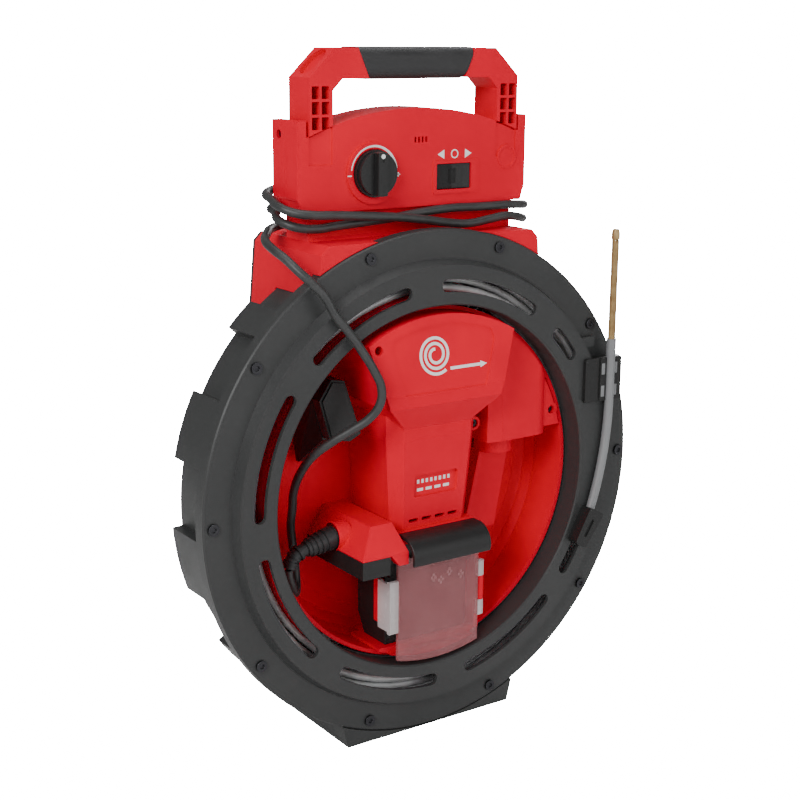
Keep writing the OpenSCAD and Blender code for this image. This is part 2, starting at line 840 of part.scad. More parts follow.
module deck_plate() {
    color(black) placed() difference() {
        translate([0, 0, deck_z0]) linear_extrude(deck_z1 - deck_z0 - gap)
            polygon([[deck_left, deck_y0], [-52, deck_y0], [-52, -8], [-47, -2], [36, -2],
                [36, dish_floor_y - gap],
                [deck_left, dish_floor_y - gap]]);
        block([deck_left + 4, deck_y0 + 6, deck_z0 + 4], [-55, 52, deck_z1 + 1]);
    }
}

// Quarter-round hood over the door, closed at its right end
module door_hood() {
    low = -50;
    color(black) placed() difference() {
        across(-hood_half, hood_half) {
            intersection() {
                translate([-12, -45]) circle(15);
                translate([-30, low]) square([18, 30]);
            }
            translate([-12.1, low]) square([8, 20]);
        }
        across(-hood_half - 1, hood_half - 3) {
            translate([-12, -45]) circle(12);
            polygon([[-12, -33], [0, -33], [0, -60], [-24, -60], [-24, -45]]);
        }
    }
}

module battery_dock() {
    color(black) placed() difference() {
        block([-battery_half, 2, -66], [battery_half, dish_floor_y - gap, deck_z0 - gap]);
        block([-24.5, 1, -67], [24.5, 54, -58.5]);
    }
}

button_y0 = 9.5;
button_y1 = 20;
button_z0 = -105;
button_z1 = -70;

module battery_pack() {
    color(black) placed() difference() {
        union() {
            across(-battery_half, battery_half) polygon([[battery_y0, battery_z1], [battery_y1, battery_z1],
                [battery_y1, -106], [battery_y1 - 9, battery_z0], [battery_y0, battery_z0]]);
            block([-24, 10, battery_z1 - 1], [24, battery_y1, -59]);
        }
        both_sides() block([29, button_y0 - 0.2, button_z0 - 0.2], [45, button_y1 + 0.2, button_z1 + 0.2]);
    }
}

module button_shape() {
    across(32.5, 40.5) round_rect([button_y0, button_z0], [button_y1, button_z1], 1.5);
}

module button_right() {
    color(red) placed() button_shape();
}

module button_left() {
    color(red) placed() mirror([1, 0, 0]) button_shape();
}

module battery_bay() {
    color(red) placed() intersection() {
        bowl_space();
        bay_walls();
    }
}

module bay_walls() {
    side_y1 = dish_floor_y;
    difference() {
        union() {
            slab(4, side_y1) intersection() {
                circle(dish_inner_r - 0.2);
                translate([-46, -140]) square([92, 140 + battery_z0 - 0.3]);
            }
            slab(-1.5, 8) intersection() {
                circle(dish_inner_r - 0.2);
                translate([-44, -140]) square([88, 13]);
            }
            block([42, 2, -124], [46, side_y1, deck_z0 - gap]);
            block([42, -3, -97.7], [46, 3, -78.3]);
            rod_z(hinge_r, -97.7, -78.3, [door_hinge_x, door_hinge_y]);
        }
        rod_z(hinge_pin_r, -120, -60, [door_hinge_x, door_hinge_y]);
    }
}

module battery_door() {
    knuckles = [[-110, -98], [-78, -66]];
    color(clear) placed() difference() {
        union() {
            slab(door_y0, door_y1) intersection() {
                circle(door_arc_r);
                translate([door_left, -140]) square([39 - door_left, 140 - 50.5]);
            }
            for (k = knuckles) {
                rod_z(hinge_r, k[0], k[1], [door_hinge_x, door_hinge_y]);
                block([38, door_y0, k[0]], [door_hinge_x, door_y1 + 1, k[1]]);
            }
            across(-44, door_left + 1) round_rect([door_y0 - 1, -108], [door_y1 + 0.5, -66], 1.5);
            block([-44, door_y1 - 1, -106], [-41.8, 9, -68]);
            block([-44, 6.5, -106], [-41, 9, -68]);
        }
        rod_z(hinge_pin_r + run, -120, -60, [door_hinge_x, door_hinge_y]);
    }
}

module hinge_pin() {
    color(steel) placed() rod_z(hinge_pin_r, -111, -65, [door_hinge_x, door_hinge_y]);
}

// ---------- cord ----------

module along(from, to) {
    d = to - from;
    translate(from) rotate([0, acos(d[2] / norm(d)), atan2(d[1], d[0])]) children();
}

function unit(v) = v / norm(v);
function tangent(p, i) = unit(p[min(i + 1, len(p) - 1)] - p[max(i - 1, 0)]);
function squared(v, t) = unit(v - (v * t) * t);

// A tube of round section swept along a list of points, its rings kept from twisting
module swept(points, r, sides) {
    last = len(points) - 1;
    first = squared([0, 1, 0], tangent(points, 0));
    normals = [for (i = 0, n = first; i <= last; i = i + 1, n = i > last ? n : squared(n, tangent(points, i))) n];
    rings = [for (i = [0 : last], k = [0 : sides - 1])
        points[i] + r * (cos(k * 360 / sides) * normals[i]
            + sin(k * 360 / sides) * cross(tangent(points, i), normals[i]))];
    skin = [for (i = [0 : last - 1], k = [0 : sides - 1])
        [i * sides + k, (i + 1) * sides + k, (i + 1) * sides + (k + 1) % sides, i * sides + (k + 1) % sides]];
    start = [[for (k = [0 : sides - 1]) k]];
    end = [[for (k = [sides - 1 : -1 : 0]) last * sides + k]];
    polyhedron(points = rings, faces = concat(skin, start, end), convexity = 10);
}

relief_tail = [[-100, 20, -36.3], [-105, 20, -37.6], [-109.4, 20, -39.8], [-112.6, 20, -43.4],
    [-114.2, 20, -48.5]];

module strain_relief() {
    long = norm(relief_tail[0] - relief_start);
    color(black) placed() difference() {
        union() {
            along(relief_start, relief_tail[0]) {
                cylinder(r1 = 8.6, r2 = 6.2, h = long);
                cylinder(r = 8.8, h = 9);
                for (i = [0 : 2]) translate([0, 0, 11.5 + i * 4]) cylinder(r = 8.4 - i * 0.5, h = 2.2);
            }
            swept(relief_tail, 4.9, 20);
            for (i = [1 : 3]) along(relief_tail[i], relief_tail[i + 1]) cylinder(r = 6.6 - i * 0.3, h = 2);
        }
        block([deck_left + 1, 0, -60], [-60, 40, 0]);
    }
}

module cord() {
    color(charcoal) placed() swept(cord_route, cord_d / 2, cord_sides);
}

module cord_grommet() {
    color(black) placed() {
        slab(head_y1 + gap, 73) round_rect([-11.7, 207.4], [8, 215], 3);
        slab(head_y1 + gap, 62) round_rect([-15, 207.4], [11, 218.5], 3);
    }
}

// ---------- control head ----------

module arch_disc(inset = 0) {
    translate([0, arch_z - arch_r]) circle(arch_r - inset, $fn = 180);
}

// The head's outline: an arched top between two ears
module head_outline(inset = 0) {
    half = head_half - inset;
    intersection() {
        union() {
            round_rect([-half, 214 + inset], [half, 264 - inset], 4);
            polygon([[-97 + inset, head_z0 + inset], [97 - inset, head_z0 + inset], [half, 219],
                [half, 240],
                [-half, 240], [-half, 219]]);
            translate([-half, 240]) square([2 * half, 60]);
        }
        union() {
            arch_disc(inset);
            both_sides() translate([head_half - ear_w + inset, 200])
                square([ear_w - 2 * inset, ear_z - 200 - inset]);
        }
    }
}

module head_shell(y0, y1, floor_y0, floor_y1) {
    difference() {
        slab(y0, y1) head_outline();
        slab(floor_y0, floor_y1) head_outline(head_wall);
        both_sides() slab(handle_y0 - 1, handle_y1 + gap) translate([leg_inner - gap, tongue_z])
            square([leg_outer - leg_inner + 2 * gap, 60]);
    }
}

module head_front() {
    color(red) placed() difference() {
        union() {
            head_shell(head_y0, head_split_y, head_y0 + head_wall, head_split_y + 1);
            both_sides() slab(head_y0 + 1, 28.9) intersection() {
                arch_disc(1);
                translate([leg_inner - 1, tongue_z - 3]) square([leg_outer + 1.5 - leg_inner, 60]);
            }
            rod_y(collar_r, head_y0 - 2, head_y0 + 1, [knob_x, knob_z]);
            slab(head_y0 - 0.8, head_y0 + 1) round_rect([rocker_x0 - 3, rocker_z0 - 3],
                [rocker_x1 + 7, rocker_z1 + 2.5], 2);
            rod_y(8.8, head_y0 - 0.5, head_y0 + 1, [83, 240]);
        }
        rod_y(knob_r + 0.6, head_y0 - 3, head_y0 - 0.8, [knob_x, knob_z]);
        rod_y(knob_shaft_r + run, 20, 40, [knob_x, knob_z]);
        slab(20, 30) round_rect([rocker_x0, rocker_z0], [rocker_x1, rocker_z1], 1);
        rod_y(7.2, head_y0 - 1, head_y0, [83, 240]);
        for (i = [0 : 3]) slab(20, 30)
            round_rect([gauge_x0 + i * 3.2, gauge_z0], [gauge_x0 + i * 3.2 + 1.8, gauge_z0 + 4.4], 0.8);
    }
}

head_screw_places = [[-92, 222], [92, 222], [-60, 250], [60, 250]];

module head_rear() {
    color(red) placed() difference() {
        head_shell(head_split_y + gap, head_y1, head_split_y - 1, head_y1 - head_wall);
        for (p = head_screw_places) rod_y(2.1, 50, 70, p);
        both_sides() rod_x(3.2, 96.8, 105, [51, 261]);
        both_sides() rod_x(1.6, 90, 105, [51, 261]);
    }
}

module head_screws() {
    color(steel) placed() {
        for (p = head_screw_places) difference() {
            union() {
                rod_y(2, 52, head_y1 + 0.1, p);
                rod_y(3.8, head_y1, head_y1 + 1.6, p);
            }
            rod_y(1.5, head_y1 + 0.6, head_y1 + 3, p);
        }
        both_sides() {
            rod_x(3, 96.8, 98.6, [51, 261]);
            rod_x(1.5, 94, 97, [51, 261]);
        }
    }
}

module handle_frame() {
    polygon([[leg_outer, tongue_z], [leg_outer, chamfer_z], [chamfer_x, handle_top],
        [-chamfer_x, handle_top],
        [-leg_outer, chamfer_z], [-leg_outer, tongue_z], [-leg_inner, tongue_z], [-leg_inner, bar_z0 - 8],
        [-leg_inner + 8, bar_z0], [leg_inner - 8, bar_z0], [leg_inner, bar_z0 - 8], [leg_inner, tongue_z]]);
}

// A rib pocket grid in the front of each leg: two columns and three rows
module rib_pockets() {
    for (c = [0, 1], r = [0 : 2]) {
        x0 = 75 + c * 8;
        z0 = 264.5 + r * 10.5;
        slab(handle_y0 - 1, handle_y1 - 7) round_rect([x0, z0], [x0 + 6, z0 + 8.6], 0.6);
    }
}

module handle() {
    mid_y = (handle_y0 + handle_y1) / 2;
    corner = [(leg_outer + chamfer_x) / 2, 0, (chamfer_z + handle_top) / 2];
    color(red) placed() difference() {
        slab(handle_y0, handle_y1) handle_frame();
        slab(0, tongue_y0) arch_disc(-gap);
        both_sides() rib_pockets();
        both_sides() translate(corner + [0, mid_y, 0]) rotate([0, 45, 0]) translate([0, 0, -3.5])
            linear_extrude(10) round_rect([-13, -9], [11, 9], 8.9);
        difference() {
            grip_span();
            grip_core();
        }
    }
}

// The part of the bar that the soft grip wraps, longer at its top than below
module grip_span() {
    slab(0, 80) polygon([[-grip_low_half, bar_z0 - 2], [grip_low_half, bar_z0 - 2],
        [grip_top_half, handle_top + 2],
        [-grip_top_half, handle_top + 2]]);
}

module grip_core() {
    across(-60, 60) round_rect([handle_y0 + 3.5, bar_z0 + 3.5], [handle_y1 - 3.5, handle_top - 3.5], 5);
}

module grip() {
    proud = 0.8;
    color(charcoal) placed() difference() {
        intersection() {
            grip_span();
            across(-60, 60) round_rect([handle_y0 - proud, bar_z0 - proud],
                [handle_y1 + proud, handle_top + proud], 8);
        }
        grip_core();
    }
}

module speed_knob() {
    color(black) placed() difference() {
        union() {
            rod_y(knob_r, head_y0 - 5, head_y0 - 1.1, [knob_x, knob_z]);
            rod_y(knob_r - 1.2, knob_y0 + 5, head_y0 - 4, [knob_x, knob_z]);
            intersection() {
                rod_y(knob_r - 1.2, knob_y0, head_y0 - 4, [knob_x, knob_z]);
                block([knob_x - 4, knob_y0, knob_z - 20], [knob_x + 4, head_y0 - 4, knob_z + 20]);
            }
            rod_y(knob_shaft_r, head_y0 - 2, 38, [knob_x, knob_z]);
        }
        block([knob_x - 0.8, knob_y0 - 1, knob_z + 8], [knob_x + 0.8, knob_y0 + 0.6, knob_z + 15]);
    }
}

module speed_pot() {
    color(steel) placed() difference() {
        rod_y(9, head_y0 + head_wall, 42, [knob_x, knob_z]);
        rod_y(knob_shaft_r + run, 20, 38.5, [knob_x, knob_z]);
    }
}

rocker_mid = (rocker_x0 + rocker_x1) / 2;

module rocker() {
    half = 15.2;
    color(black) placed() difference() {
        union() {
            translate([rocker_mid, rocker_pivot_y, rocker_z0 + 0.5]) linear_extrude(rocker_z1 - rocker_z0 - 1)
                polygon([[-half, -4.4], [-half + 5, -3.6], [0, -2.6], [half - 5, -3.6], [half, -4.4],
                    [half, 0],
                    [4, 3], [-4, 3], [-half, 0]]);
            rod_z(1.5, rocker_z0 - 2, rocker_z1 + 2, [rocker_mid, rocker_pivot_y]);
        }
        for (x = [-3 : 1 : 3]) block([rocker_mid + x - 0.2, 20, 222], [rocker_mid + x + 0.2, 28.7, 233]);
    }
}

module switch_body() {
    color(grey) placed() difference() {
        union() {
            block([rocker_x0 - 1, 36.5, 214.5], [rocker_x1 + 1, 50, 240.5]);
            block([rocker_mid - 6, 28.6, 214.5], [rocker_mid + 6, 37, rocker_z0 - 0.2]);
            block([rocker_mid - 6, 28.6, rocker_z1 + 0.2], [rocker_mid + 6, 37, 240.5]);
        }
        rod_z(1.5 + run, 210, 245, [rocker_mid, rocker_pivot_y]);
    }
}

module gauge_window() {
    color([0.4, 0.05, 0.05]) placed() block([gauge_x0 - 2, head_y0 + head_wall, gauge_z0 - 2],
        [gauge_x0 + 13.5, head_y0 + head_wall + 2, gauge_z0 + 6.4]);
}

// ---------- cable outlet ----------

// A tapered strap on the annulus that holds the tube's lower end
sleeve_corners = [[143.5, -41.5], [152.6, -46.5], [131.5, -63.5], [137.2, -66.9]];

module guide_sleeve() {
    tube_start = [144.2, tube_y, -48.1];
    tube_ahead = [149.6, tube_y, -34];
    color(black) placed() difference() {
        slab(-18.5, -annulus_rise - gap) hull() {
            for (p = sleeve_corners) translate(p) circle(3);
        }
        slab(-20, -17.3) hull() {
            translate([138, -59.5]) circle(1.6);
            translate([144.5, -49.5]) circle(1.6);
        }
        along(tube_start, tube_ahead) cylinder(r = tube_d / 2 + 0.2, h = 18);
    }
}

// An arc up to where the tube stands upright, then a straight outlet
module guide_tube() {
    body_r = tube_d / 2 - 0.25;
    color(grey) placed() {
        translate([tube_x - tube_arc_r, tube_y, tube_bend_z]) rotate([90, 0, 0]) rotate([0, 0, -tube_arc_sweep])
            rotate_extrude(angle = tube_arc_sweep) translate([tube_arc_r, 0]) circle(body_r);
        difference() {
            union() {
                rod_z(body_r, tube_bend_z, outlet_z, [tube_x, tube_y]);
                rod_z(tube_d / 2, outlet_z, tube_top_z, [tube_x, tube_y]);
            }
            rod_z(leader_d / 2 + run, tube_bend_z + 3, tube_top_z + 1, [tube_x, tube_y]);
        }
    }
}

pad_edges = [[153.6, 157], [166.6, 169.8]];
pad_heights = [51, 69];
pad_long = 9;

// The bracket stands on the flange and the annulus, and the tube lies in a groove down its front
module tube_bracket() {
    color(black) placed() difference() {
        union() {
            slab(-11, -annulus_rise - gap) round_rect([138, 47.5], [160, 82.5], 2);
            slab(-7.5, -gap) round_rect([step_r + 0.5, 47.8], [176.5, 82.4], 2);
            slab(tube_y, tube_y + 5.5) round_rect([152.4, 47.8], [174.4, 82.4], 2);
        }
        rod_y(annulus_r + 0.3, -annulus_rise, 0);
        spun() polygon([[annulus_r - 1, -annulus_rise - gap], [annulus_r + 0.2, -annulus_rise - gap],
            [step_r + 0.3, -gap], [step_r + 0.3, 1], [annulus_r - 1, 1]]);
        rod_z(tube_d / 2 + 0.15, 40, 90, [tube_x, tube_y]);
        for (e = pad_edges, z = pad_heights) block([e[0], tube_y - 1, z],
            [e[1], tube_y + 1.2, z + pad_long]);
    }
}

module clip_pads() {
    color(grey) placed() for (e = pad_edges, z = pad_heights)
        block([e[0], tube_y - 0.4, z], [e[1], tube_y + 1.2, z + pad_long]);
}

module leader() {
    color(bronze) placed() rod_z(leader_d / 2, leader_z0, leader_z1, [tube_x, tube_y]);
}

module leader_tip() {
    tip_r = leader_d / 2 + 0.2;
    color(bronze) placed() {
        rod_z(tip_r, leader_z1, leader_z1 + 5, [tube_x, tube_y]);
        translate([tube_x, tube_y, leader_z1 + 5]) cylinder(r1 = tip_r, r2 = 2.2, h = tip_z1 - leader_z1 - 5);
    }
}

foot();
foot_pads();
shoulder();
back_frame();
rear_cover();
rear_screws();
dish();
front_cover();
cover_screws();
rear_shell();
reel_bushes();
reel_hub();
ring_gear();
cable_coil();
gear_plate();
motor_plate();
gearbox_posts();
idler_gear();
idler_pin();
compound_gear();
compound_shaft();
motor_pinion();
motor_rotor();
motor_stator();
bearings();
housing();
housing_screws();
side_housing();
driver_board();
drum_latch();
latch_pin();
deck_cover();
deck_plate();
door_hood();
battery_dock();
battery_pack();
button_left();
button_right();
battery_bay();
battery_door();
hinge_pin();
strain_relief();
cord();
cord_grommet();
head_front();
head_rear();
head_screws();
handle();
grip();
speed_knob();
speed_pot();
rocker();
switch_body();
gauge_window();
guide_sleeve();
guide_tube();
tube_bracket();
clip_pads();
leader();
leader_tip();
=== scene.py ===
"""Looks for the drain snake machine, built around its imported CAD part."""

import json
import math

import bmesh
import bpy
from mathutils import Matrix, Vector


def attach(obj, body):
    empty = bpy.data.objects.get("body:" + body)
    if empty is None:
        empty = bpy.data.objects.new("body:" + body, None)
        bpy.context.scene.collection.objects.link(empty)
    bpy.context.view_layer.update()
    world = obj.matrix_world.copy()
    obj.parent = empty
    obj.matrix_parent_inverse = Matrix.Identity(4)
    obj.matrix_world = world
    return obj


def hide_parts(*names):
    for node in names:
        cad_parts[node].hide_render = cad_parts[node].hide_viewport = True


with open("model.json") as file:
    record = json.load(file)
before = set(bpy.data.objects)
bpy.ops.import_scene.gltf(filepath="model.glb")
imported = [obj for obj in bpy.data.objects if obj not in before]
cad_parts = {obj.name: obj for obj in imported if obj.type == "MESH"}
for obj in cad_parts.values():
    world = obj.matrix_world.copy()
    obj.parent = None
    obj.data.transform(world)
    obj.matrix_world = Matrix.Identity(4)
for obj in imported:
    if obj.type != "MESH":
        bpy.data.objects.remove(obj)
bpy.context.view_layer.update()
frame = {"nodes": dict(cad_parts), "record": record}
nodes = frame["nodes"]

MM = 0.001


# ---------- camera ----------

def in_row(point):
    """A point given in the ring's frame, in millimetres, as the row frame's metres."""
    x, y, z = point
    return Vector((x, y - 50, z + 194)) * MM


CAMERA_PLACE = (-622.23, -859.95, 330.01)
CAMERA_TURNS = (34.503, 13.951, 0.423)


def add_camera():
    """A camera turned about 34.5 degrees to the right and pitched about 14 degrees down."""
    yaw, pitch, roll = (math.radians(a) for a in CAMERA_TURNS)
    ahead = Vector((math.sin(yaw) * math.cos(pitch), math.cos(yaw) * math.cos(pitch), -math.sin(pitch)))
    right = Vector((math.cos(yaw), -math.sin(yaw), 0))
    up = right.cross(ahead)
    tilted_right = right * math.cos(roll) + up * math.sin(roll)
    tilted_up = up * math.cos(roll) - right * math.sin(roll)
    turn = Matrix((tilted_right, tilted_up, -ahead)).transposed()
    data = bpy.data.cameras.new("camera")
    data.lens = 66.47
    data.sensor_width = 36
    camera = bpy.data.objects.new("camera", data)
    camera.matrix_world = Matrix.Translation(in_row(CAMERA_PLACE)) @ turn.to_4x4()
    bpy.context.scene.collection.objects.link(camera)
    bpy.context.scene.camera = camera


add_camera()


# ---------- cord ----------

CORD_D = 6.4
CORD_ROUTE = [
    (-114.5, 20, -49.7), (-114.2, 20, -55), (-112, 20.8, -61), (-108.6, 23.6, -67.8),
    (-104.6, 28.2, -72.4), (-100.4, 33.6, -73.6), (-97.2, 38.6, -71), (-95.6, 42, -65.4),
    (-95.4, 43.4, -58), (-96.4, 43.4, -48), (-98.4, 42.5, -36), (-100.5, 40.5, -24), (-101, 37, -10),
    (-102.5, 32, 5), (-102, 23, 21), (-98, 13, 35), (-88.5, 2, 47), (-77, -8, 57), (-68, -15, 65),
    (-62, -20, 76), (-61.5, -21, 88), (-66.5, -20, 100), (-74.5, -17.5, 114), (-85, -15, 129.5),
    (-95, -14, 142), (-102, -12, 155.1), (-109.2, -9, 163.6), (-116.2, -3, 171.6), (-121.4, 7, 179.9),
    (-123.9, 20, 185.4), (-121.8, 34, 189.1), (-113.1, 48, 192.1), (-98, 64.5, 194), (-80, 70, 195.5),
    (-60, 71, 195.5), (-20, 71, 195), (20, 71, 195), (60, 71, 194), (84, 68.5, 192.5),
    (99.5, 60.8, 191.8), (106, 49, 191.5), (106, 37, 191.5), (100, 26, 192.5), (91, 20, 194.5),
    (77, 17.5, 196.5), (61, 17, 195), (42, 17, 193), (24, 17, 194.5), (0, 16.5, 198.5),
    (-26, 16.5, 202), (-50, 17, 204), (-74, 17.5, 206), (-92.2, 18.5, 207.1), (-104.1, 25, 208.7),
    (-110.4, 36, 212.6), (-109, 49, 216.5), (-106.2, 60.5, 218.5), (-97.5, 67, 220.5), (-80, 67, 221),
    (-50, 66.5, 221), (-10, 66.5, 221), (30, 66.5, 217), (62, 66.5, 209), (88, 65, 202.5),
    (101.5, 58.5, 200.5), (107.8, 48, 200.5), (107.6, 36, 201.5), (99.5, 26.5, 203), (84, 23.8, 204),
    (57, 23.6, 204), (30, 23.6, 204.5), (4, 23.6, 203), (-21, 23.6, 200.5), (-46, 23.6, 199),
    (-72, 23.6, 197.5), (-85.3, 23.6, 196.5), (-99, 25.5, 197.7), (-106.7, 32.5, 200.4),
    (-108.1, 42, 203.3), (-103.4, 52, 206.9), (-102.8, 59.5, 207.8), (-97.5, 65.2, 208.5),
    (-78, 68, 208.5), (-50, 69, 209.5), (-28, 69, 211), (-12, 69, 211.5)]


def add_cord():
    """The cord from the deck to the head, as one smooth curve through its route.

    The bevel is one metre at radius 1, so each knot's radius is the cord's own radius.
    """
    route = [in_row(p) for p in CORD_ROUTE]
    data = bpy.data.curves.new("cord_line", "CURVE")
    data.dimensions = "3D"
    data.bevel_depth = 1
    data.bevel_resolution = 6
    data.resolution_u = 6
    data.use_fill_caps = True
    spline = data.splines.new("BEZIER")
    spline.bezier_points.add(len(route) - 1)
    for knot, place in zip(spline.bezier_points, route):
        knot.co = place
        knot.radius = CORD_D / 2 * MM
        knot.handle_left_type = "AUTO"
        knot.handle_right_type = "AUTO"
    cord = bpy.data.objects.new("cord_line", data)
    bpy.context.scene.collection.objects.link(cord)
    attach(cord, "machine")
    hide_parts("cord")
    return cord


cord = add_cord()


# ---------- materials ----------

class Finish:
    """One node material under construction, with its pattern space in the row frame's metres."""

    def __init__(self, name):
        self.material = bpy.data.materials.new(name)
        self.material.use_nodes = True
        self.tree = self.material.node_tree
        self.shader = self.tree.nodes["Principled BSDF"]
        self.space = self.add("ShaderNodeTexCoord").outputs["Object"]

    def add(self, kind, **values):
        node = self.tree.nodes.new(kind)
        for name, value in values.items():
            if hasattr(node, name):
                setattr(node, name, value)
            else:
                node.inputs[name.replace("_", " ")].default_value = value
        return node

    def link(self, source, target):
        self.tree.links.new(source, target)

    def noise(self, size, detail=3.0, stretch=(1, 1, 1)):
        """Noise from 0 to 1 with features of about this size in metres, drawn out by stretch."""
        mapping = self.add("ShaderNodeMapping")
        mapping.inputs["Scale"].default_value = [1 / s for s in stretch]
        texture = self.add("ShaderNodeTexNoise")
        texture.inputs["Scale"].default_value = 1 / size
        texture.inputs["Detail"].default_value = detail
        self.link(self.space, mapping.inputs["Vector"])
        self.link(mapping.outputs["Vector"], texture.inputs["Vector"])
        return texture.outputs["Fac"]

    def ranged(self, value, low, high, start=0.3, end=0.7):
        """The value spread from its own start..end to low..high."""
        node = self.add("ShaderNodeMapRange")
        for name, number in zip(("From Min", "From Max", "To Min", "To Max"), (start, end, low, high)):
            node.inputs[name].default_value = number
        self.link(value, node.inputs["Value"])
        return node.outputs["Result"]

    def math(self, operation, a, b=0.0):
        node = self.add("ShaderNodeMath", operation=operation)
        for i, value in enumerate((a, b)):
            if isinstance(value, (int, float)):
                node.inputs[i].default_value = value
            else:
                self.link(value, node.inputs[i])
        return node.outputs["Value"]

    def mix(self, factor, a, b):
        """Colour a where the factor is 0 and b where it is 1."""
        node = self.add("ShaderNodeMix", data_type="RGBA")
        for i, value in ((0, factor), (6, a), (7, b)):
            if isinstance(value, (tuple, list)):
                node.inputs[i].default_value = (*value, 1)[:4]
            elif isinstance(value, (int, float)):
                node.inputs[i].default_value = value
            else:
                self.link(value, node.inputs[i])
        return node.outputs[2]

    def coat(self, name, value):
        """Sets one input of the surface to a number or to another node's output."""
        if isinstance(value, (int, float)):
            self.shader.inputs[name].default_value = value
        else:
            self.link(value, self.shader.inputs[name])

    def bump(self, height, depth):
        """Relief of this depth in metres, chained onto any relief already there."""
        node = self.add("ShaderNodeBump")
        node.inputs["Strength"].default_value = 1.0
        node.inputs["Distance"].default_value = depth
        self.link(height, node.inputs["Height"])
        normal = self.shader.inputs["Normal"]
        if normal.links:
            self.link(normal.links[0].from_socket, node.inputs["Normal"])
        self.link(node.outputs["Normal"], normal)


def lighter(colour, share):
    """The colour times a share, held to 1."""
    return tuple(min(1.0, c * share) for c in colour)


def moulded(name, colour, rough, grain=0.0004, depth=0.00004, mottling=0.08):
    """Moulded plastic with a spark-eroded texture and slight tone changes."""
    finish = Finish(name)
    tone = finish.ranged(finish.noise(0.06), 0, 1)
    dark, bright = lighter(colour, 1 - mottling), lighter(colour, 1 + mottling)
    finish.coat("Base Color", finish.mix(tone, dark, bright))
    smudge = finish.ranged(finish.noise(0.025, 5), rough - 0.04, rough + 0.05)
    finish.coat("Roughness", smudge)
    finish.bump(finish.noise(grain, 2), depth)
    finish.bump(finish.noise(0.02, 2), 0.00006)
    return finish


def red_plastic():
    finish = moulded("red_plastic", (0.70, 0.0, 0.020), 0.44)
    finish.coat("Specular IOR Level", 0.1)
    return finish.material


def charcoal_plastic():
    finish = moulded("charcoal_plastic", (0.034, 0.035, 0.035), 0.40, grain=0.0006, depth=0.00009)
    finish.coat("Specular IOR Level", 0.3)
    return finish.material


def black_plastic():
    finish = moulded("black_plastic", (0.014, 0.014, 0.014), 0.38)
    finish.coat("Specular IOR Level", 0.3)
    return finish.material


def grey_plastic():
    return moulded("grey_plastic", (0.19, 0.195, 0.2), 0.4).material


def rubber():
    """Matt rubber with a fine grain and dusty patches."""
    finish = Finish("rubber")
    dust = finish.ranged(finish.noise(0.03, 6), 0, 1, 0.45, 0.75)
    finish.coat("Base Color", finish.mix(dust, (0.014, 0.014, 0.015), (0.022, 0.022, 0.023)))
    finish.coat("Roughness", finish.ranged(dust, 0.5, 0.66, 0, 1))
    finish.bump(finish.noise(0.0005, 3), 0.00008)
    return finish.material


def cord_rubber():
    """The cord's jacket: matt, a little scuffed."""
    finish = Finish("cord_jacket")
    scuff = finish.ranged(finish.noise(0.012, 6), 0, 1, 0.4, 0.75)
    finish.coat("Base Color", finish.mix(scuff, (0.024, 0.025, 0.025), (0.036, 0.037, 0.037)))
    finish.coat("Roughness", finish.ranged(scuff, 0.42, 0.58, 0, 1))
    finish.bump(finish.noise(0.0007, 3), 0.00006)
    return finish.material


def machined(name, colour, rough, stretch=(1, 1, 30), depth=0.00001):
    """Machined or plated metal with tool marks drawn out along one axis."""
    finish = Finish(name)
    marks = finish.noise(0.0006, 3, stretch)
    haze = finish.ranged(finish.noise(0.015, 4), 0, 1)
    finish.coat("Base Color", finish.mix(haze, lighter(colour, 0.85), lighter(colour, 1.08)))
    finish.coat("Metallic", 1.0)
    finish.coat("Roughness", finish.ranged(marks, rough - 0.08, rough + 0.1))
    finish.bump(marks, depth)
    return finish


def zinc_steel():
    return machined("zinc_steel", (0.55, 0.55, 0.56), 0.32).material


def alloy():
    return machined("alloy", (0.62, 0.62, 0.63), 0.42, (30, 1, 1)).material


def black_steel():
    return machined("black_steel", (0.05, 0.05, 0.055), 0.36, (1, 1, 1)).material


def rotor_steel():
    return machined("rotor_steel", (0.4, 0.4, 0.42), 0.35, (1, 20, 1)).material


def copper():
    return machined("copper", (0.66, 0.3, 0.14), 0.3, (1, 14, 1), 0.00003).material


def wound_cable():
    """Jacketed steel cable with the wire's lay showing through as fine slanting ridges."""
    finish = Finish("wound_cable")
    wave = finish.add("ShaderNodeTexWave", wave_type="BANDS", bands_direction="DIAGONAL")
    wave.inputs["Scale"].default_value = 260
    wave.inputs["Distortion"].default_value = 0.6
    finish.link(finish.space, wave.inputs["Vector"])
    haze = finish.ranged(finish.noise(0.03, 5), 0, 1)
    finish.coat("Base Color", finish.mix(haze, (0.45, 0.455, 0.46), (0.62, 0.625, 0.63)))
    finish.coat("Metallic", 0.1)
    finish.coat("Roughness", finish.ranged(haze, 0.26, 0.38, 0, 1))
    finish.bump(wave.outputs["Fac"], 0.00005)
    return finish.material


def board():
    """Circuit board: solder mask with the copper tracks raised under it."""
    finish = Finish("board")
    tracks = finish.add("ShaderNodeTexBrick")
    tracks.inputs["Scale"].default_value = 220
    finish.link(finish.space, tracks.inputs["Vector"])
    finish.coat("Base Color", finish.mix(tracks.outputs["Fac"], (0.012, 0.09, 0.03), (0.03, 0.2, 0.07)))
    finish.coat("Roughness", finish.ranged(finish.noise(0.01), 0.3, 0.45))
    finish.bump(tracks.outputs["Fac"], 0.00004)
    return finish.material


DOOR_MIDDLE = 0.0015
DOOR_HAZE_HALF = 0.0375


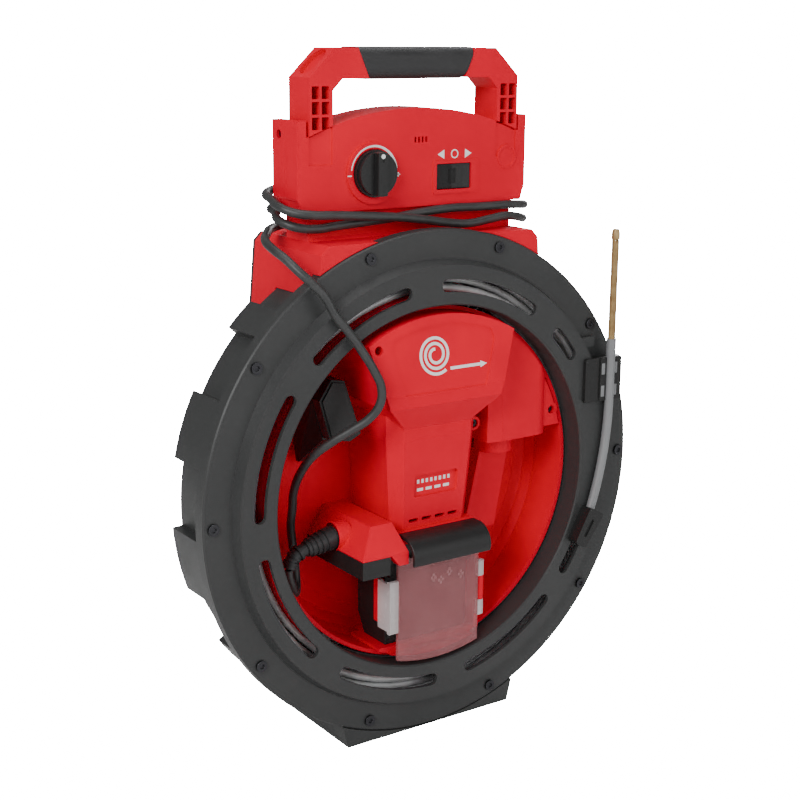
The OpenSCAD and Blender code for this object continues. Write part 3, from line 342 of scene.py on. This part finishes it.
def clear_plastic():
    """Frosted clear sheet: the door's flat carries a pink haze, its hinge and clip are paler."""
    finish = Finish("clear_plastic")
    parts = finish.add("ShaderNodeSeparateXYZ")
    finish.link(finish.space, parts.inputs["Vector"])
    aside = finish.math("ABSOLUTE", finish.math("SUBTRACT", parts.outputs["X"], DOOR_MIDDLE))
    rim = finish.ranged(aside, 0, 1, DOOR_HAZE_HALF, DOOR_HAZE_HALF + 0.0005)
    cloud = finish.ranged(finish.noise(0.02, 4), 0, 1)
    haze = finish.mix(cloud, (0.4, 0.13, 0.14), (0.47, 0.17, 0.18))
    finish.coat("Base Color", finish.mix(rim, haze, (0.8, 0.76, 0.76)))
    finish.coat("Roughness", finish.ranged(finish.noise(0.006, 4), 0.2, 0.3))
    lit = finish.math("MULTIPLY", rim, 0.05)
    see_through = finish.add("ShaderNodeBsdfTransparent")
    see_through.inputs["Color"].default_value = (0.95, 0.9, 0.9, 1)
    blend = finish.add("ShaderNodeMixShader")
    edge = finish.add("ShaderNodeLayerWeight")
    edge.inputs["Blend"].default_value = 0.35
    veil = finish.ranged(edge.outputs["Facing"], 0.36, 0.85, 0, 1)
    finish.link(finish.math("MAXIMUM", veil, lit), blend.inputs["Fac"])
    finish.link(see_through.outputs["BSDF"], blend.inputs[1])
    finish.link(finish.shader.outputs["BSDF"], blend.inputs[2])
    finish.link(blend.outputs["Shader"], finish.tree.nodes["Material Output"].inputs["Surface"])
    return finish.material


def printed(name, colour):
    """Printed marks: slightly uneven ink."""
    finish = Finish(name)
    patchy = finish.ranged(finish.noise(0.002, 4), 0, 1)
    finish.coat("Base Color", finish.mix(patchy, lighter(colour, 0.9), colour))
    finish.coat("Roughness", finish.ranged(patchy, 0.4, 0.5, 0, 1))
    finish.bump(patchy, 0.00001)
    return finish.material


def gauge_lens():
    """Dark red lens over the charge lamps, glossy with slight waviness."""
    finish = Finish("gauge_lens")
    cloud = finish.ranged(finish.noise(0.01, 3), 0, 1)
    finish.coat("Base Color", finish.mix(cloud, (0.16, 0.006, 0.008), (0.28, 0.012, 0.014)))
    finish.coat("Roughness", finish.ranged(cloud, 0.12, 0.2, 0, 1))
    finish.bump(cloud, 0.00003)
    return finish.material


def bronze():
    """Spiral-wound bronze-coloured wire."""
    finish = Finish("bronze")
    haze = finish.ranged(finish.noise(0.008, 5), 0, 1)
    finish.coat("Base Color", finish.mix(haze, (0.27, 0.16, 0.055), (0.45, 0.31, 0.14)))
    finish.coat("Metallic", 0.3)
    finish.coat("Roughness", finish.ranged(haze, 0.4, 0.55, 0, 1))
    finish.bump(finish.noise(0.0006, 3), 0.00004)
    return finish.material


FINISHES = {
    "red_plastic": red_plastic, "charcoal_plastic": charcoal_plastic, "black_plastic": black_plastic,
    "grey_plastic": grey_plastic, "rubber": rubber, "zinc_steel": zinc_steel, "alloy": alloy,
    "black_steel": black_steel, "rotor_steel": rotor_steel, "copper": copper, "cable": wound_cable,
    "board": board, "clear_plastic": clear_plastic, "gauge_lens": gauge_lens, "bronze": bronze}
materials = {name: make() for name, make in FINISHES.items()}
materials["cord_jacket"] = cord_rubber()
materials["white_ink"] = printed("white_ink", (0.85, 0.85, 0.85))


def paint(piece, name):
    """Gives the piece one finish."""
    piece.data.materials.clear()
    piece.data.materials.append(materials[name])


def paint_nodes():
    """Every CAD node takes its record slot's finish."""
    for part in frame["record"]["subparts"]:
        paint(nodes[part["node"]], part["material_slot"])


paint_nodes()
paint(cord, "cord_jacket")


# ---------- softened edges ----------

# Bevel width in millimetres, and the nodes that take it
BEVELS = {
    0.9: ["shoulder", "back_frame", "rear_cover", "front_cover", "rear_shell", "foot", "handle", "grip"],
    0.7: ["head_front", "head_rear", "housing", "side_housing", "deck_cover", "battery_bay", "door_hood",
          "drum_latch"],
    0.4: ["deck_plate", "speed_knob", "rocker", "guide_sleeve", "tube_bracket", "battery_door",
          "battery_pack", "battery_dock", "clip_pads", "cord_grommet", "button_left", "button_right",
          "gauge_window", "reel_hub", "foot_pads"],
    0.25: ["cover_screws", "housing_screws", "head_screws", "rear_screws", "hinge_pin", "leader_tip",
           "gearbox_posts", "gear_plate", "motor_plate"]}


def soften(node, width):
    """Rounds a CAD node's sharp edges with modifiers, which leave its own mesh as it is."""
    weld = node.modifiers.new("weld", "WELD")
    weld.merge_threshold = 0.00001
    thin = node.modifiers.new("thin", "DECIMATE")
    thin.decimate_type = "DISSOLVE"
    thin.angle_limit = math.radians(0.6)
    bevel = node.modifiers.new("bevel", "BEVEL")
    bevel.width = width * MM
    bevel.segments = 3
    bevel.limit_method = "ANGLE"
    bevel.angle_limit = math.radians(32)
    bevel.use_clamp_overlap = True
    even = node.modifiers.new("even", "WEIGHTED_NORMAL")
    even.keep_sharp = True
    even.weight = 100


for width, names in BEVELS.items():
    for name in names:
        soften(nodes[name], width)


# ---------- pieces added to the CAD nodes ----------

def add_piece(name, verts, faces, body, finish):
    """One closed flat-shaded mesh in the row frame that rides a body."""
    mesh = bpy.data.meshes.new(name)
    mesh.from_pydata(verts, [], faces)
    shape = bmesh.new()
    shape.from_mesh(mesh)
    bmesh.ops.recalc_face_normals(shape, faces=shape.faces)
    shape.to_mesh(mesh)
    shape.free()
    mesh.polygons.foreach_set("use_smooth", [False] * len(mesh.polygons))
    piece = bpy.data.objects.new(name, mesh)
    bpy.context.scene.collection.objects.link(piece)
    paint(piece, finish)
    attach(piece, body)
    return piece


MARK_ROOT = 0.15


def add_marks(name, outlines, depth_at, body, finish, proud=0.2):
    """Thin raised marks: outlines in X and Z, standing proud of a face whose depth is a function of Z."""
    verts, faces = [], []
    for outline in outlines:
        start, count = len(verts), len(outline)
        verts += [in_row((x, depth_at(z) - proud, z)) for x, z in outline]
        verts += [in_row((x, depth_at(z) + MARK_ROOT, z)) for x, z in outline]
        faces.append(tuple(range(start, start + count)))
        faces.append(tuple(range(start + 2 * count - 1, start + count - 1, -1)))
        for i in range(count):
            j = (i + 1) % count
            faces.append((start + i, start + j, start + count + j, start + count + i))
    return add_piece(name, verts, faces, body, finish)


def on_circle(centre, radius, degrees):
    """The point at this angle of a circle."""
    a = math.radians(degrees)
    return centre[0] + radius * math.cos(a), centre[1] + radius * math.sin(a)


def arc_mark(centre, radius, widths, start, end, steps=24):
    """A band along an arc whose width runs from one value to the other."""
    share = [i / steps for i in range(steps + 1)]
    half = [(widths[0] + (widths[1] - widths[0]) * t) / 2 for t in share]
    angles = [start + (end - start) * t for t in share]
    outer = [on_circle(centre, radius + h, a) for h, a in zip(half, angles)]
    inner = [on_circle(centre, radius - h, a) for h, a in zip(half, angles)]
    return outer + inner[::-1]


def ring_mark(centre, radius, width):
    """A ring as two half bands."""
    return [arc_mark(centre, radius, (width, width), start, start + 180, 16) for start in (0, 180)]


def bar_mark(x0, z0, x1, z1):
    """A rectangle between two corners."""
    return [(x0, z0), (x1, z0), (x1, z1), (x0, z1)]


# Depths of the head's face, of the knob's front and of the battery pack's front
HEAD_FACE = 26
KNOB_FACE = 12.0
PACK_FACE = 8
DIAL_FACE = HEAD_FACE - 2
KNOB = (-38.5, 233)


def add_knob_marks():
    """A scale round the knob that grows from less to more, and the pointer on the knob."""
    scale = [arc_mark(KNOB, 19.2, (0.7, 2.2), 172, 8)]
    less = [bar_mark(-60.6, 231.4, -57.4, 232.3)]
    more = [bar_mark(-19.4, 230.9, -16.2, 231.8), bar_mark(-18.25, 229.75, -17.35, 232.95)]
    add_marks("knob_scale", scale, lambda z: DIAL_FACE, "machine", "white_ink")
    add_marks("knob_signs", less + more, lambda z: DIAL_FACE, "machine", "white_ink",
              0.25)
    pointer = [on_circle((KNOB[0], KNOB[1] + 12.6), 1.7, 30 * i) for i in range(12)]
    add_marks("knob_pointer", [pointer], lambda z: KNOB_FACE, "knob", "white_ink", 0.15)


def add_switch_marks():
    """Back, stop and forward signs over the rocker: a triangle, a ring and a triangle."""
    low, high = 240.6, 247.2
    mid = (low + high) / 2
    back = [(18.5, mid), (24.5, low), (24.5, high)]
    ahead = [(49.5, mid), (43.5, high), (43.5, low)]
    outlines = [back, ahead] + ring_mark((34, mid), 2.9, 0.8)
    add_marks("switch_marks", outlines, lambda z: HEAD_FACE, "machine", "white_ink")


def shield_face(z):
    """Depth of the recessed shield on the motor housing's front, which leans between two heights."""
    top_z, top_y = 140, -7
    fall, rise, recess = 9, 62, 0.9
    return top_y - fall * (top_z - z) / rise + recess


BADGE_FACE = 0.4


def spiral_mark(centre, radii, width, turns, steps=96):
    """A flat spiral band."""
    share = [i / steps for i in range(steps + 1)]
    radius = [radii[0] + (radii[1] - radii[0]) * t for t in share]
    angles = [90 + 360 * turns * t for t in share]
    outer = [on_circle(centre, r + width / 2, a) for r, a in zip(radius, angles)]
    inner = [on_circle(centre, r - width / 2, a) for r, a in zip(radius, angles)]
    return [[outer[i], outer[i + 1], inner[i + 1], inner[i]] for i in range(steps)]


def add_housing_marks():
    """A generic sign of a coiled cable on the shield, and plain bars on the badge below."""
    coil = spiral_mark((-8, 104), (4, 14.5), 2.2, 2.6)
    tail = [bar_mark(4.5, 91.6, 32, 93.8), [(32, 90.2), (32, 95.2), (38, 92.7)]]
    add_marks("shield_coil", coil, shield_face, "machine", "white_ink")
    add_marks("shield_arrow", tail, shield_face, "machine", "white_ink")
    bars = [bar_mark(-15 + 8 * i, -1.8, -9.5 + 8 * i, 0.4) for i in range(4)]
    dots = [bar_mark(-15 + 4 * i, 4.2, -13 + 4 * i, 7.2) for i in range(8)]
    add_marks("badge_bars", bars + dots, lambda z: BADGE_FACE, "machine", "white_ink")


def add_battery_marks():
    """Four charge lamps on the pack, each a small cross of dots, seen through the door."""
    half = 1.1
    outlines = []
    for x, z in ((7, -77), (14, -80), (22, -75), (33, -79)):
        for dx, dz in ((-1.6, 0), (1.6, 0), (0, 2.2), (0, -2.2)):
            outlines.append(bar_mark(x + dx - half, z + dz - half, x + dx + half, z + dz + half))
    add_marks("battery_lamps", outlines, lambda z: PACK_FACE, "machine", "white_ink", 0.3)


add_battery_marks()
add_knob_marks()
add_switch_marks()
add_housing_marks()


# ---------- wound cable and leader ----------

def wire_curve(name, points, radius, body, finish, smoothness=4):
    """A round wire along points in the ring's frame."""
    data = bpy.data.curves.new(name, "CURVE")
    data.dimensions = "3D"
    data.bevel_depth = radius * MM
    data.bevel_resolution = smoothness
    data.use_fill_caps = True
    spline = data.splines.new("POLY")
    spline.points.add(len(points) - 1)
    for knot, point in zip(spline.points, points):
        knot.co = (*in_row(point), 1)
    wire = bpy.data.objects.new(name, data)
    bpy.context.scene.collection.objects.link(wire)
    paint(wire, finish)
    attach(wire, body)
    return wire


CABLE_D = 5.2
COIL_Y = (7.7, 49)
COIL_R = (149.1, 168)
LEADER_AXIS = (162.5, -12.2)


def add_coil():
    """The stored cable: layers of turns side by side, each layer wound back over the last."""
    rows = 4
    turns = 7
    steps = 60
    points = []
    for row in range(rows):
        radius = COIL_R[0] + (COIL_R[1] - COIL_R[0]) * row / (rows - 1)
        ends = COIL_Y if row % 2 == 0 else COIL_Y[::-1]
        for i in range(turns * steps):
            share = i / (turns * steps)
            a = 360 * turns * share
            x, z = on_circle((0, 0), radius, a)
            points.append((x, ends[0] + (ends[1] - ends[0]) * share, z))
    coil = wire_curve("wound_coil", points, CABLE_D / 2, "reel", "cable", 3)
    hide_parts("cable_coil")


def add_leader_winding():
    """The leader's close-wound wire."""
    pitch = 0.9
    steps = 14
    low, high = 58, 175.6
    lay_r, wire_r = 2.62, 0.45
    count = int((high - low) / pitch * steps)
    points = []
    for i in range(count + 1):
        x, y = on_circle(LEADER_AXIS, lay_r, 360 * i / steps)
        points.append((x, y, low + (high - low) * i / count))
    winding = wire_curve("leader_winding", points, wire_r, "leader_line", "bronze", 2)
    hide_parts("leader")


add_coil()
add_leader_winding()


# ---------- stage ----------

FLOOR_TURN = -34.5
BACKDROP_GLOW = 40.0
ROOM_GLOW = 0.26


def add_floor():
    """A pale floor that curves up into a backdrop well behind the machine."""
    steps = 12
    front, back, bend = -4.0, 2.2, 1.6
    half_width, height = 7.0, 6.0
    profile = [(front, 0.0), (back, 0.0)]
    profile += [(back + bend * math.sin(a), bend - bend * math.cos(a))
                for a in (math.pi / 2 * i / steps for i in range(1, steps + 1))]
    profile.append((back + bend, height))
    points = [(x, y, z) for y, z in profile for x in (-half_width, half_width)]
    faces = [(2 * i, 2 * i + 1, 2 * i + 3, 2 * i + 2) for i in range(len(profile) - 1)]
    mesh = bpy.data.meshes.new("floor")
    mesh.from_pydata(points, [], faces)
    mesh.polygons.foreach_set("use_smooth", [True] * len(mesh.polygons))
    floor = bpy.data.objects.new("floor", mesh)
    floor.rotation_euler.z = math.radians(FLOOR_TURN)
    bpy.context.scene.collection.objects.link(floor)
    mesh.materials.append(floor_paint())


def floor_paint():
    """Matt white whose own glow only the camera sees, so it doesn't light the machine from below."""
    finish = Finish("floor_paint")
    tone = finish.ranged(finish.noise(0.4), 0, 1)
    finish.coat("Base Color", finish.mix(tone, (0.8, 0.8, 0.8), (0.83, 0.83, 0.83)))
    finish.coat("Roughness", 0.8)
    finish.coat("Specular IOR Level", 0.1)
    glow = finish.add("ShaderNodeEmission")
    glow.inputs["Strength"].default_value = BACKDROP_GLOW
    seen = finish.add("ShaderNodeAddShader")
    path = finish.add("ShaderNodeLightPath")
    blend = finish.add("ShaderNodeMixShader")
    finish.link(finish.shader.outputs["BSDF"], seen.inputs[0])
    finish.link(glow.outputs["Emission"], seen.inputs[1])
    finish.link(path.outputs["Is Camera Ray"], blend.inputs["Fac"])
    finish.link(finish.shader.outputs["BSDF"], blend.inputs[1])
    finish.link(seen.outputs["Shader"], blend.inputs[2])
    finish.link(blend.outputs["Shader"], finish.tree.nodes["Material Output"].inputs["Surface"])
    return finish.material


def add_light(name, place, target, size, power):
    """A rectangular softbox aimed at a target."""
    data = bpy.data.lights.new(name, "AREA")
    data.shape = "RECTANGLE"
    data.size, data.size_y = size
    data.energy = power
    light = bpy.data.objects.new(name, data)
    light.location = place
    light.rotation_euler = (Vector(target) - Vector(place)).to_track_quat("-Z", "Y").to_euler()
    bpy.context.scene.collection.objects.link(light)


def add_lights():
    """The key stands to the left, and a large fill, a top light and a rim light soften its shadows."""
    middle = (0, -0.02, 0.25)
    add_light("key", (-1.9, -1.05, 1.35), middle, (0.9, 0.9), 44)
    add_light("front_fill", (0.6, -2.1, 0.8), middle, (1.6, 1.4), 16)
    add_light("top", (0.1, -0.1, 2.0), middle, (1.4, 1.0), 18)
    add_light("rim", (1.3, 0.9, 0.9), middle, (0.5, 1.4), 14)


def add_world():
    """Bright white behind the machine, and a dimmer white for what lights it and shows in it."""
    world = bpy.data.worlds.new("world")
    world.use_nodes = True
    tree = world.node_tree
    seen = tree.nodes["Background"]
    seen.inputs["Color"].default_value = (1, 1, 1, 1)
    seen.inputs["Strength"].default_value = BACKDROP_GLOW
    lit = tree.nodes.new("ShaderNodeBackground")
    lit.inputs["Color"].default_value = (1, 1, 1, 1)
    lit.inputs["Strength"].default_value = ROOM_GLOW
    path = tree.nodes.new("ShaderNodeLightPath")
    blend = tree.nodes.new("ShaderNodeMixShader")
    tree.links.new(path.outputs["Is Camera Ray"], blend.inputs["Fac"])
    tree.links.new(lit.outputs["Background"], blend.inputs[1])
    tree.links.new(seen.outputs["Background"], blend.inputs[2])
    tree.links.new(blend.outputs["Shader"], tree.nodes["World Output"].inputs["Surface"])
    bpy.context.scene.world = world


add_floor()
add_lights()
add_world()

bpy.context.view_layer.update()
